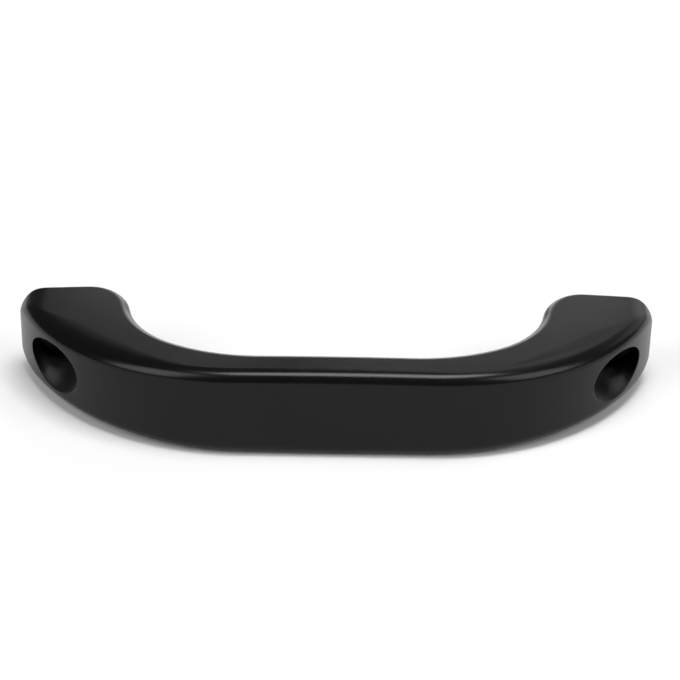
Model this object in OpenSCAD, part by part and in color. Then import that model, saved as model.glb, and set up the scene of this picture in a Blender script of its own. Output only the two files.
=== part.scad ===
// Roof grab handle: a bow handle moulded in one piece, held by a screw through each foot.
// X runs along the handle and +Y points to the surface that it is screwed to. Z is across the bar.
// The origin is midway between the two screw holes, on the plane of the two foot faces.
// The body is a loft of rounded sections between two rails. Both are chains of tangent arcs:
// the outer rail follows the bar's front round to the foot, the inner one follows the grip side.

/* [Overall size] */
// Length over the two rounded ends
overall_len = 200; // [190:1:220]
// Depth from the front of the bar to the foot faces
depth = 56; // [53:0.5:58]
// Height of the bar across its middle
bar_h = 29; // [26:0.5:32]
// Thickness of the bar behind its front face
bar_t = 13.5; // [12:0.5:15]

/* [Outer side] */
// Radius of the bow from the front face round to the foot
bow_r = 75; // [72:1:80]
// Radius of the foot's outer corner
outer_corner_r = 5; // [4.5:0.5:7]

/* [Grip side] */
// Half of the straight stretch behind the bar
grip_straight = 22.75; // [18:0.25:24]
// Radius where the grip begins to bend
grip_bend_r = 51; // [48:1:52]
// Angle of that first bend
grip_bend_angle = 30.5; // [28:0.5:31]
// Radius of the tighter bend against the foot
grip_end_r = 33; // [31:1:34]
// Lean of the foot's inner wall away from the grip
foot_lean = 12; // [9:1:12]
// Radius of the foot's inner corner
inner_corner_r = 14; // [11:1:14]

/* [Edges and ends] */
// Radius of the long edges on the outer side
outer_edge_r = 4; // [2.5:0.5:4]
// Radius of the long edges on the grip side
grip_edge_r = 3; // [2:0.5:4]
// Radius of the edges round the foot faces
foot_edge_r = 1; // [0.5:0.25:2]
// Radius of the slight bow of the top and underside along the handle
side_bow_r = 1920; // [1500:10:4000]
// Length of the rounded nose at each end
nose_len = 8; // [8:0.5:12]
// Drop of the top at the tip of the nose
nose_drop = 6; // [5.9:0.1:7]

/* [Screw holes] */
// Distance between the two screw holes
hole_pitch = 174; // [172:1:175]
// Diameter of the screw hole
screw_d = 6.6; // [4.5:0.1:6.6]
// Diameter of the pocket for the screw's head and a cap
pocket_d = 16; // [12:0.5:16]
// Material under the screw's head
seat_t = 6; // [4:0.5:8]

/* [Smoothness] */
// Sections from the middle of the bar to a foot
stations = 40; // [24:1:44]
// Facets on each rounded edge of a section
edge_steps = 6; // [3:1:7]
// Facets across the top of a section
top_steps = 8; // [6:1:10]

/* [Hidden] */

$fn = 96;
half_len = overall_len / 2;
nose_start = half_len - nose_len;

// More sections crowd towards the feet, where the corners are tight
crowding = 1.35;
// Rounds of the search for the line where an edge rounding meets the top
touch_rounds = 12;
// Smallest angle that an edge rounding is divided over
least_angle = 0.01;
// Length by which a drill runs past the surface that it opens
overshoot = 1;

bow_turn = acos((bow_r - depth + outer_corner_r) / (bow_r - outer_corner_r));
front_straight = half_len - outer_corner_r - (bow_r - outer_corner_r) * sin(bow_turn);
grip_turn = 90 - foot_lean;
foot_wall = (depth - bar_t - grip_bend_r * (1 - cos(grip_bend_angle))
    - grip_end_r * (cos(grip_bend_angle) - cos(grip_turn))
    - inner_corner_r * (1 - cos(grip_turn))) / sin(grip_turn);

// A rail is a chain of stretches, each [length, turn to the left in degrees]
function straight(length) = [length, 0];
function bend(radius, turn) = [radius * abs(turn) * PI / 180, turn];

outer_rail = [straight(front_straight), bend(bow_r, bow_turn), bend(outer_corner_r, 180 - bow_turn)];
grip_rail = [
    straight(grip_straight),
    bend(grip_bend_r, grip_bend_angle),
    bend(grip_end_r, grip_turn - grip_bend_angle),
    straight(foot_wall),
    bend(inner_corner_r, -grip_turn)
];

function rail_length(rail, i = 0) = i == len(rail) ? 0 : rail[i][0] + rail_length(rail, i + 1);

// Place and heading after a run along one stretch
function run_along(pose, stretch, run) =
    let (heading = pose[2], turn = stretch[1] * run / stretch[0])
    turn == 0
        ? [pose[0] + run * cos(heading), pose[1] + run * sin(heading), heading]
        : let (r = run / turn * 180 / PI)
            [pose[0] + r * (sin(heading + turn) - sin(heading)),
             pose[1] - r * (cos(heading + turn) - cos(heading)),
             heading + turn];

// Place and heading after a run along the whole rail
function rail_pose(rail, run, pose, i = 0) =
    run <= rail[i][0] || i == len(rail) - 1
        ? run_along(pose, rail[i], run)
        : rail_pose(rail, run - rail[i][0], run_along(pose, rail[i], rail[i][0]), i + 1);

// Half the height of the top over the middle plane: a slight bow, then the nose as a quarter ellipse
function nose_share(x) = max(0, (x - nose_start) / nose_len);
function half_height(x) =
    bar_h / 2 - x * x / (2 * side_bow_r) - nose_drop * (1 - sqrt(1 - pow(nose_share(x), 2)));

// Lean of the top's normal towards the end of the handle
function top_lean(x) =
    let (share = nose_share(x), fall = nose_len * sqrt(1 - share * share))
    atan2(x / side_bow_r * fall + nose_drop * share, fall);

// A ball in the edge, with its centre at centre_x, touches the top at this x
function touch_x(centre_x, r, x, rounds) =
    rounds == 0
        ? x
        : touch_x(centre_x, r, min(centre_x + r * sin(top_lean(x)), half_len), rounds - 1);

// Radius of the long edge at a run along a rail: it narrows to the foot's edge round the last stretch
function edge_radius(rail, run, full_r) =
    let (
        last = rail[len(rail) - 1][0],
        share = max(0, (run - rail_length(rail) + last) / last)
    )
    full_r + (foot_edge_r - full_r) * share * share * (3 - 2 * share);

// Points of a rounded edge, from the wall with its normal in plan up to the top
function edge_points(place, normal, r) =
    let (
        centre = [place[0] - r * normal[0], place[1] - r * normal[1]],
        lean = top_lean(touch_x(centre[0], r, centre[0], touch_rounds)),
        centre_z = half_height(touch_x(centre[0], r, centre[0], touch_rounds)) - r * cos(lean),
        wall = [normal[0], normal[1], 0],
        top = [sin(lean), 0, cos(lean)],
        sweep = max(acos(min(1, wall * top)), least_angle)
    )
    [for (k = [0 : edge_steps])
        let (angle = sweep * k / edge_steps)
        [centre[0], centre[1], centre_z]
            + r * (sin(sweep - angle) * wall + sin(angle) * top) / sin(sweep)];

function reversed(list) = [for (i = [len(list) - 1 : -1 : 0]) list[i]];
function below(p) = [p[0], p[1], -p[2]];
function other_side(p) = [-p[0], p[1], p[2]];

// Share of the way across the top: lines crowd to the outer side, where the nose falls away
function across(column) = pow(column / top_steps, 2);

// Upper half of the section at a share of the way from the middle to a foot
function upper_section(share) =
    let (
        outer_run = rail_length(outer_rail) * share,
        grip_run = rail_length(grip_rail) * share,
        outer = rail_pose(outer_rail, outer_run, [0, -depth, 0]),
        grip = rail_pose(grip_rail, grip_run, [0, bar_t - depth, 0]),
        outer_edge = edge_points(outer, [sin(outer[2]), -cos(outer[2])],
            edge_radius(outer_rail, outer_run, outer_edge_r)),
        grip_edge = edge_points(grip, [-sin(grip[2]), cos(grip[2])],
            edge_radius(grip_rail, grip_run, grip_edge_r)),
        from = outer_edge[edge_steps],
        to = grip_edge[edge_steps]
    )
    concat(
        outer_edge,
        [for (k = [1 : top_steps - 1])
            let (p = from + (to - from) * across(k)) [p[0], p[1], half_height(p[0])]],
        reversed(grip_edge)
    );

function section(share) =
    let (upper = upper_section(share))
    concat(upper, [for (p = reversed(upper)) below(p)]);

upper_count = 2 * (edge_steps + 1) + top_steps - 1;
ring = 2 * upper_count;
shares = [for (i = [0 : stations]) 1 - pow(1 - i / stations, crowding)];
half_rings = [for (share = shares) section(share)];
rings = concat(
    [for (i = [stations : -1 : 1]) [for (p = half_rings[i]) other_side(p)]],
    half_rings
);

// Rounded rim of a foot face: rows from the face up to the top, between the last section's two edges
foot_section = half_rings[stations];
function rim_point(row, column) =
    let (
        outer = foot_section[row],
        grip = foot_section[upper_count - 1 - row],
        top_outer = foot_section[edge_steps],
        top_grip = foot_section[upper_count - 1 - edge_steps],
        straight_z = top_outer[2] + (top_grip[2] - top_outer[2]) * across(column),
        p = outer + (grip - outer) * across(column)
    )
    [p[0], p[1], p[2] + foot_section[edge_steps + column][2] - straight_z];
rim_points = [for (row = [0 : edge_steps - 1]) for (column = [1 : top_steps - 1]) rim_point(row, column)];

body_points = concat(
    [for (r = rings) each r],
    rim_points,
    [for (p = rim_points) below(p)],
    [for (p = rim_points) other_side(p)],
    [for (p = rim_points) other_side(below(p))]
);

// Place in body_points of a foot rim's point. The foot is 0 on the right and 1 on the left.
function rim_index(foot, lower, row, column) =
    let (
        first = foot == 0 ? 2 * stations * ring : 0,
        on_ring = column == 0 ? row
            : column == top_steps ? upper_count - 1 - row
            : edge_steps + column
    )
    row == edge_steps || column == 0 || column == top_steps
        ? first + (lower ? ring - 1 - on_ring : on_ring)
        : len(rings) * ring + (2 * foot + (lower ? 1 : 0)) * len(rim_points)
            + row * (top_steps - 1) + column - 1;

// Two triangles for a patch with corners a, b, c, d, clockwise from outside unless it is turned over
function patch(a, b, c, d, turned) = turned ? [[a, c, b], [a, d, c]] : [[a, b, c], [a, c, d]];

side_faces = [for (i = [0 : 2 * stations - 1]) for (j = [0 : ring - 1])
    let (next = (j + 1) % ring)
    each patch(i * ring + j, i * ring + next, (i + 1) * ring + next, (i + 1) * ring + j, false)];

rim_faces = [for (foot = [0, 1]) for (lower = [false, true])
    for (row = [0 : edge_steps - 1]) for (column = [0 : top_steps - 1])
    each patch(
        rim_index(foot, lower, row, column),
        rim_index(foot, lower, row, column + 1),
        rim_index(foot, lower, row + 1, column + 1),
        rim_index(foot, lower, row + 1, column),
        (foot == 0) != lower
    )];

foot_faces = [for (foot = [0, 1]) for (column = [0 : top_steps - 1])
    each patch(
        rim_index(foot, true, 0, column),
        rim_index(foot, true, 0, column + 1),
        rim_index(foot, false, 0, column + 1),
        rim_index(foot, false, 0, column),
        foot == 0
    )];

// Solid bow before the screw holes are opened
module bow() {
    polyhedron(points = body_points, faces = concat(side_faces, rim_faces, foot_faces), convexity = 6);
}

// Screw hole through a foot, with the deep pocket that opens on the curved outer side
module screw_hole(side) {
    translate([side * hole_pitch / 2, 0, 0]) rotate([90, 0, 0]) {
        translate([0, 0, -overshoot]) cylinder(d = screw_d, h = seat_t + 2 * overshoot);
        translate([0, 0, seat_t]) cylinder(d = pocket_d, h = depth);
    }
}

// The whole handle, one moulding
module grab_handle() {
    color([0.07, 0.07, 0.07])
    difference() {
        bow();
        for (side = [-1, 1]) screw_hole(side);
    }
}

grab_handle();
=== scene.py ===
"""A roof grab handle: one moulding in black plastic, lying on its side on a white table."""
from math import acos, asin, cos, hypot, pi, radians, sin

import bmesh
import bpy
import numpy as np
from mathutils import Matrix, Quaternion, Vector


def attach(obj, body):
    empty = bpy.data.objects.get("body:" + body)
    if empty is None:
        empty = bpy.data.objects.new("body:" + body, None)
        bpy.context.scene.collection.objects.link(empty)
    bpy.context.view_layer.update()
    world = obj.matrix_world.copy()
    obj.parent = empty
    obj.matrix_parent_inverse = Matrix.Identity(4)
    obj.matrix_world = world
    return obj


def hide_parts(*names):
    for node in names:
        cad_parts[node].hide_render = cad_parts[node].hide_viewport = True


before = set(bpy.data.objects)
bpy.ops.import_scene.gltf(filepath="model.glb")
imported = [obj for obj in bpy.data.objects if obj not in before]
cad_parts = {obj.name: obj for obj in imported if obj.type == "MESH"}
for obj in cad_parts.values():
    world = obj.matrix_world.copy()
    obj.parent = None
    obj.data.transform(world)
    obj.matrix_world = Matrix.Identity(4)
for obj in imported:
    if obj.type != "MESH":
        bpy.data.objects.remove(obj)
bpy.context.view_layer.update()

# The handle. The real one is injection moulded in one piece, in black polypropylene with a
# satin skin. Its bar bows away from the roof rail and swells into a foot at each end, and a
# screw deep in a pocket fixes each foot. Sizes are in millimetres, x along the handle.

half_length, depth, bar_height, bar_thick = 100.0, 56.0, 29.0, 13.5
bow_r, outer_corner_r = 75.0, 5.0
grip_straight, grip_bend_r, grip_end_r = 22.75, 51.0, 33.0
grip_bend, grip_turn = radians(30.5), radians(78.0)
inner_corner_r = 14.0
outer_edge_r, grip_edge_r, foot_edge_r = 4.0, 3.0, 1.0
side_bow_r, nose_long, nose_drop = 1920.0, 8.0, 6.0

bow_turn = acos((bow_r - depth + outer_corner_r) / (bow_r - outer_corner_r))
front_straight = half_length - outer_corner_r - (bow_r - outer_corner_r) * sin(bow_turn)
foot_wall = (depth - bar_thick - grip_bend_r * (1 - cos(grip_bend))
             - grip_end_r * (cos(grip_bend) - cos(grip_turn))
             - inner_corner_r * (1 - cos(grip_turn))) / sin(grip_turn)

# Two rails carry the edges, from the middle of the bar to the foot face. Each is a chain of
# stretches, given as length and turn.
outer_rail = [(front_straight, 0), (bow_r * bow_turn, bow_turn),
              (outer_corner_r * (pi - bow_turn), pi - bow_turn)]
grip_rail = [(grip_straight, 0), (grip_bend_r * grip_bend, grip_bend),
             (grip_end_r * (grip_turn - grip_bend), grip_turn - grip_bend),
             (foot_wall, 0), (inner_corner_r * grip_turn, -grip_turn)]


def follow(rail, run, y):
    """Places and headings after each run along a rail that starts at x = 0."""
    px, py, heading, done = 0 * run, y + 0 * run, 0 * run, 0.0
    for length, turn in rail:
        part = np.clip(run - done, 0, length)
        if turn:
            r, bent = length / turn, turn * part / length
            px = px + r * (np.sin(heading + bent) - np.sin(heading))
            py = py - r * (np.cos(heading + bent) - np.cos(heading))
            heading = heading + bent
        else:
            px, py = px + part * np.cos(heading), py + part * np.sin(heading)
        done += length
    return px, py, heading


def nose_share(x):
    """How far x is along the rounded nose at the end of the foot, from 0 to 1."""
    return np.clip((x - half_length + nose_long) / nose_long, 0, 1)


def side_height(x):
    """Height of the upper side over the middle plane, with its slight bow and its nose."""
    fall = nose_drop * (1 - np.sqrt(1 - nose_share(x) ** 2))
    return bar_height / 2 - x ** 2 / (2 * side_bow_r) - fall


def side_lean(x):
    """Angle by which the upper side leans outward, upright on the nose's tip."""
    nose = nose_share(x)
    level = nose_long * np.sqrt(1 - nose ** 2)
    return np.arctan2(x / side_bow_r * level + nose_drop * nose, level)


def smooth(w):
    """A soft step from 0 to 1."""
    w = np.clip(w, 0, 1)
    return w * w * (3 - 2 * w)


edge_steps, settle_rounds, least_sweep = 12, 40, 0.001


def rounded_edge(rail, run, y, full_r, side, soft):
    """The rounded edge along a rail, from the wall up to the side, as a ball rolled in the edge.
    Where it is soft, it reaches further inward and fades into the side."""
    px, py, heading = follow(rail, run, y)
    nx, ny = side * np.sin(heading), -side * np.cos(heading)
    last_length, whole = rail[-1][0], sum(length for length, _ in rail)
    r = full_r + (foot_edge_r - full_r) * smooth((run - whole + last_length) / last_length)
    cx, cy = px - r * nx, py - r * ny
    touch = cx
    for _ in range(settle_rounds):
        touch = (touch + np.minimum(cx + r * np.sin(side_lean(touch)), half_length)) / 2
    lean = side_lean(touch)
    centre = np.stack([cx, cy, side_height(touch) - r * np.cos(lean)], -1)
    wall = np.stack([nx, ny, 0 * nx], -1)
    top = np.stack([np.sin(lean), 0 * lean, np.cos(lean)], -1)

    sweep = np.arccos(np.clip((wall * top).sum(-1), -1, 1))
    sweep = np.maximum(sweep, least_sweep)[:, None, None]
    a = sweep * np.linspace(0, 1, edge_steps + 1)[:, None]
    arc = (np.sin(sweep - a) * wall[:, None] + np.sin(a) * top[:, None]) / np.sin(sweep)
    edge = centre[:, None] + r[:, None, None] * arc

    soft, a = soft[:, None], np.linspace(0, pi / 2, edge_steps + 1)
    reach = (1 + soft) * (1 - np.cos(a) ** (2 / (2 + soft))) - (1 - np.cos(a))
    before = side_height(edge[..., 0])
    edge -= (r[:, None] * reach)[..., None] * wall[:, None]
    edge[..., 2] += (side_height(edge[..., 0]) - before) * np.sin(a) ** 2
    return edge


# Stations run along the bar, past the patch of the foot that holds the pocket's mouth, and on
# to the corner and round it
rows, bar_steps, heel_steps, corner_steps = 24, 56, 6, 20
patch_from_x, patch_to_x = 78.0, 96.1
outer_len, grip_len = (sum(length for length, _ in rail) for rail in (outer_rail, grip_rail))
patch_from, patch_to = (
    (front_straight + bow_r * asin((x - front_straight) / bow_r)) / outer_len
    for x in (patch_from_x, patch_to_x))
corner_from = 1 - outer_rail[-1][0] / outer_len
share = np.concatenate([
    np.linspace(0, patch_from, bar_steps + 1),
    np.linspace(patch_from, patch_to, rows + 1)[1:],
    np.linspace(patch_to, corner_from, heel_steps + 1)[1:],
    np.linspace(corner_from, 1, corner_steps + 1)[1:]])
patch_first, patch_last = bar_steps, bar_steps + rows

# The outer edge is crisp along the bar and soft on the foot, up to where its corner begins
softness, soft_from_x, soft_rise, soft_to_x, soft_fall = 1.4, 42.0, 35.0, 98.0, 14.0
wall_x = follow(outer_rail, share * outer_len, -depth)[0]
soft = softness * smooth((wall_x - soft_from_x) / soft_rise) * (share < corner_from)
soft = soft * smooth((soft_to_x - wall_x) / soft_fall)
outer_edge = rounded_edge(outer_rail, share * outer_len, -depth, outer_edge_r, 1, soft)
grip_edge = rounded_edge(
    grip_rail, share * grip_len, bar_thick - depth, grip_edge_r, -1, 0 * soft)

# Sheets of quads for one quarter of the handle, x and z positive: the edges, the side
# between them, and the walls down to the middle plane
across = smooth(np.linspace(0, 1, rows + 1))[:, None]
side = outer_edge[:, None, -1] + (grip_edge[:, None, -1] - outer_edge[:, None, -1]) * across
side[:, 1:-1, 2] = side_height(side[:, 1:-1, 0])


def wall_below(edge):
    """The upright wall under an edge."""
    wall = np.repeat(edge[:, None, 0], rows // 2 + 1, 1)
    wall[..., 2] *= np.linspace(1, 0, rows // 2 + 1)
    return wall


outer_wall, grip_wall = wall_below(outer_edge), wall_below(grip_edge)
quarter = [outer_edge, grip_edge, side, grip_wall,
           outer_wall[:patch_first + 1], outer_wall[patch_last:]]

# The pocket: a deep round bore from the outer side with a softly broken lip. The head of the
# screw sits on the seat at its bottom, and the screw's hole runs on to the foot face.
hole_x, pocket_r, lip, seat_y, screw_r, break_r = 87.0, 8.0, 0.3, -6.0, 3.3, 0.3
ring_steps, lip_steps, shaft_steps, break_steps = 8, 6, 6, 3
half_turn = np.linspace(0, pi, 2 * rows + 1)


def circle(r, y):
    """The upper half of a ring round the screw's axis."""
    return np.stack([hole_x + r * np.cos(half_turn), y + 0 * half_turn, r * np.sin(half_turn)], -1)


def bow_y(x):
    """Where the outer side lies on its bow."""
    return bow_r - depth - np.sqrt(bow_r ** 2 - (x - front_straight) ** 2)


def ring_to(outline, ring):
    """Quads between a round opening and the outline that it lies in."""
    return ring + (outline - ring) * np.linspace(0, 1, ring_steps + 1)[:, None, None]


patch = np.concatenate([
    outer_wall[patch_last, ::-1], outer_edge[patch_last - 1:patch_first:-1, 0],
    outer_wall[patch_first]])
mouth = ring_to(patch, circle(pocket_r + lip, 0))
mouth[..., 1] = bow_y(mouth[..., 0])

outside, corner = mouth[0], circle(pocket_r, 0)
corner[:, 1] = bow_y(corner[:, 0])
inside = corner + [0, lip, 0]
t = np.linspace(0, 1, lip_steps + 1)[:, None, None]
rounded_lip = (1 - t) ** 2 * outside + 2 * t * (1 - t) * corner + t ** 2 * inside

arc = [(sin(a), cos(a)) for a in np.linspace(0, pi / 2, break_steps + 1)]
seat_corner = [(pocket_r - lip + lip * c, seat_y - lip + lip * s) for s, c in arc]
screw_lip = [(screw_r + break_r * (1 - s), seat_y + break_r * (1 - c)) for s, c in arc]
back_lip = [(screw_r + break_r * (1 - c), break_r * (s - 1)) for s, c in arc]
bore = [circle(r, y) for r, y in seat_corner + screw_lip + back_lip]
shaft = [inside + (bore[0] - inside) * w for w in np.linspace(0, 1, shaft_steps + 1)[:-1]]

# The foot face is flat round the screw's hole, and a rim rolls the side over onto it
rim = outer_edge[-1][:, None] + (grip_edge[-1] - outer_edge[-1])[:, None] * across
rim[..., 2] += side[-1, :, 2] - rim[-1, :, 2]
face = np.concatenate([outer_wall[-1, ::-1], rim[0, 1:-1], grip_wall[-1]])
quarter += [mouth, rounded_lip, np.array(shaft + bore), rim, ring_to(face, bore[-1])]

# The four mirrored quarters are welded into one closed surface, now in metres
points, quads = [], []
for sheet in quarter:
    n, m = sheet.shape[:2]
    index = np.arange(n * m).reshape(n, m)
    corners = [index[:-1, :-1], index[:-1, 1:], index[1:, 1:], index[1:, :-1]]
    cells = np.stack(corners, -1).reshape(-1, 4)
    for mirror in ((1, 1, 1), (-1, 1, 1), (1, 1, -1), (-1, 1, -1)):
        quads.append(cells + sum(map(len, points)))
        points.append(sheet.reshape(-1, 3) * mirror / 1000)

skin_finish, pocket_finish_painted_lighter, weld_gap = 0, 1, 2e-6
mesh = bpy.data.meshes.new("grab_handle_moulding")
mesh.from_pydata(np.concatenate(points).tolist(), [], np.concatenate(quads).tolist())
bm = bmesh.new()
bm.from_mesh(mesh)
bmesh.ops.remove_doubles(bm, verts=bm.verts, dist=weld_gap)
bmesh.ops.recalc_face_normals(bm, faces=bm.faces)
for f in bm.faces:
    f.smooth = True
    x, y, z = f.calc_center_median() * 1000
    # Faces inside the pocket take the pocket's material, whose lighter tone is painted light.
    cored = hypot(abs(x) - hole_x, z) < pocket_r and y < -break_r
    f.material_index = pocket_finish_painted_lighter if cored else skin_finish
bm.to_mesh(mesh)
bm.free()
handle = bpy.data.objects.new("grab_handle_moulding", mesh)
bpy.context.scene.collection.objects.link(handle)


def black_plastic(name, gloss, tones, roughness, mottle_scale, relief, rise):
    """Black plastic for the handle. A soft mottling varies its tone and its sheen, and a fine
    relief is pressed into it. Its texture is returned."""
    material = bpy.data.materials.new(name)
    material.use_nodes = True
    nodes, links = material.node_tree.nodes, material.node_tree.links
    shader = nodes["Principled BSDF"]
    shader.inputs["Specular IOR Level"].default_value = gloss
    place = nodes.new("ShaderNodeTexCoord").outputs["Object"]

    def made(kind, settings):
        node = nodes.new(kind)
        for socket, value in settings.items():
            node.inputs[socket].default_value = value
        return node

    def spread(low, high):
        node = made("ShaderNodeMapRange",
                    {"From Min": 0.3, "From Max": 0.7, "To Min": low, "To Max": high})
        links.new(mottle.outputs["Fac"], node.inputs["Value"])
        return node.outputs["Result"]

    mottle = made("ShaderNodeTexNoise", {"Scale": mottle_scale, "Detail": 3})
    links.new(place, mottle.inputs["Vector"])
    tone = nodes.new("ShaderNodeMix")
    tone.data_type = "RGBA"
    tone.inputs["A"].default_value, tone.inputs["B"].default_value = tones
    links.new(spread(0, 1), tone.inputs["Factor"])
    links.new(tone.outputs["Result"], shader.inputs["Base Color"])
    links.new(spread(*roughness), shader.inputs["Roughness"])

    texture = made(*relief)
    links.new(place, texture.inputs["Vector"])
    bump = made("ShaderNodeBump", rise)
    links.new(texture.outputs["Fac"], bump.inputs["Height"])
    links.new(bump.outputs["Normal"], shader.inputs["Normal"])
    mesh.materials.append(material)
    return texture


# The satin skin has a fine moulded grain, and broad soft flow marks in its sheen. The pocket keeps
# the turned finish of the pin that cored it, in fine rings, and is rougher. Its tone is painted
# lighter than the skin's: painted light that brightens the inside of the pocket.
black_plastic(
    "satin_black_polypropylene", gloss=0.2,
    tones=((0.0026, 0.0026, 0.0027, 1), (0.0036, 0.0036, 0.0035, 1)),
    roughness=(0.21, 0.25), mottle_scale=38,
    relief=("ShaderNodeTexNoise", {"Scale": 2600, "Detail": 3}),
    rise={"Strength": 0.25, "Distance": 0.00002})
# The pocket's lighter tones are painted light on the same black plastic, not a paler plastic.
rings = black_plastic(
    "cored_polypropylene_painted_lighter", gloss=0.4,
    tones=((0.014, 0.014, 0.0142, 1), (0.018, 0.018, 0.0178, 1)),
    roughness=(0.34, 0.4), mottle_scale=260,
    relief=("ShaderNodeTexWave", {"Scale": 420, "Distortion": 2, "Detail": 2}),
    rise={"Strength": 0.3, "Distance": 0.00003})
rings.bands_direction = "Y"

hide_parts("grab_handle")
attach(handle, "root")

# The table top: matt white paper that runs far out of view. It lies a hair under the handle
# and keeps its shadow. Away from the handle it fades to plain white, for the camera and in
# reflections only, so that it adds no light.

floor_half, floor_gap = 8.0, 0.05
floor_mesh = bpy.data.meshes.new("floor")
floor_mesh.from_pydata(
    [(-floor_half, -floor_half, 0), (floor_half, -floor_half, 0),
     (floor_half, floor_half, 0), (-floor_half, floor_half, 0)], [], [(0, 1, 2, 3)])
floor = bpy.data.objects.new("floor", floor_mesh)
floor.location = (0, 0, -(bar_height / 2 + floor_gap) / 1000)
bpy.context.scene.collection.objects.link(floor)

paper = bpy.data.materials.new("white_paper")
paper.use_nodes = True
nodes, links = paper.node_tree.nodes, paper.node_tree.links
matt = nodes["Principled BSDF"]
matt.inputs["Base Color"].default_value = (0.72, 0.72, 0.72, 1)
matt.inputs["Roughness"].default_value = 0.9
matt.inputs["Specular IOR Level"].default_value = 0
matt.inputs["Emission Color"].default_value = (1, 1, 1, 1)


def combined(operation, a, b):
    """One number made of two outputs."""
    node = nodes.new("ShaderNodeMath")
    node.operation = operation
    links.new(a, node.inputs[0])
    links.new(b, node.inputs[1])
    return node.outputs[0]


ray = nodes.new("ShaderNodeLightPath").outputs
seen = combined("MAXIMUM", ray["Is Camera Ray"], ray["Is Glossy Ray"])
seen = combined("MAXIMUM", seen, ray["Is Transmission Ray"])
away = nodes.new("ShaderNodeVectorMath")
away.operation = "LENGTH"
links.new(nodes.new("ShaderNodeTexCoord").outputs["Object"], away.inputs[0])
fade = nodes.new("ShaderNodeMapRange")
fade.interpolation_type = "SMOOTHSTEP"
fade_settings = {"From Min": 0.12, "From Max": 1.0, "To Min": 0.02, "To Max": 0.9}
for socket, value in fade_settings.items():
    fade.inputs[socket].default_value = value
links.new(away.outputs["Value"], fade.inputs["Value"])
lift = combined("MULTIPLY", seen, fade.outputs["Result"])
links.new(lift, matt.inputs["Emission Strength"])
floor_mesh.materials.append(paper)

# The studio: dim walls, a little paler at the horizon, with softboxes overhead and at the two
# front corners. A card at the right and a screen behind are paler, and two weak lamps hang
# high behind and at the right.

world = bpy.data.worlds.new("studio")
bpy.context.scene.world = world
world.use_nodes = True
nodes, links = world.node_tree.nodes, world.node_tree.links
height = nodes.new("ShaderNodeSeparateXYZ")
links.new(nodes.new("ShaderNodeTexCoord").outputs["Generated"], height.inputs[0])
walls = nodes.new("ShaderNodeValToRGB")
walls.color_ramp.interpolation = "EASE"
for stop, position, grey in zip(walls.color_ramp.elements, (0.03, 0.12), (0.13, 0.08)):
    stop.position, stop.color = position, (grey, grey, grey, 1)
links.new(height.outputs["Z"], walls.inputs["Fac"])
links.new(walls.outputs["Color"], nodes["Background"].inputs["Color"])


def softbox(name, azimuth, elevation, distance, size, brightness):
    """A rectangular lamp that faces the handle, placed by its direction in degrees."""
    lamp = bpy.data.lights.new(name, "AREA")
    lamp.shape, (lamp.size, lamp.size_y) = "RECTANGLE", size
    lamp.energy = brightness * pi * size[0] * size[1]
    box = bpy.data.objects.new(name, lamp)
    a, e = radians(azimuth), radians(elevation)
    box.location = distance * Vector((cos(e) * cos(a), cos(e) * sin(a), sin(e)))
    box.rotation_euler = (-box.location).to_track_quat("-Z", "Y").to_euler()
    box.visible_camera = False
    bpy.context.scene.collection.objects.link(box)


softbox("overhead", 309, 81, 1.2, (0.7, 0.43), 12.6)
softbox("front_left", 219, 36, 1.5, (0.81, 1.12), 4.1)
softbox("front_right", 330, 34, 1.5, (0.8, 0.98), 4)
softbox("card_right", 46, 21, 1.5, (1.3, 0.82), 0.95)
softbox("screen", 89, 13, 1.6, (0.75, 0.72), 3)
softbox("high_behind", 72, 46, 1.5, (0.63, 0.42), 1.3)
softbox("high_right", 55, 62, 1.5, (0.5, 0.5), 0.6)

# The camera: a long lens that looks down at about thirty degrees, turned by about one degree
# as the photograph is.
camera = bpy.data.objects.new("camera", bpy.data.cameras.new("camera"))
camera.data.lens, camera.data.sensor_width = 120.31, 36
camera.location = (-0.003002, -0.631368, 0.35993)
aim, roll = Vector((0.00111, -0.025601, 0.009174)), radians(1.1036)
level_view = (aim - camera.location).to_track_quat("-Z", "Y")
camera.rotation_mode = "QUATERNION"
camera.rotation_quaternion = level_view @ Quaternion((0, 0, 1), roll)
bpy.context.scene.collection.objects.link(camera)
bpy.context.scene.camera = camera
bpy.context.scene.view_settings.view_transform = "Standard"
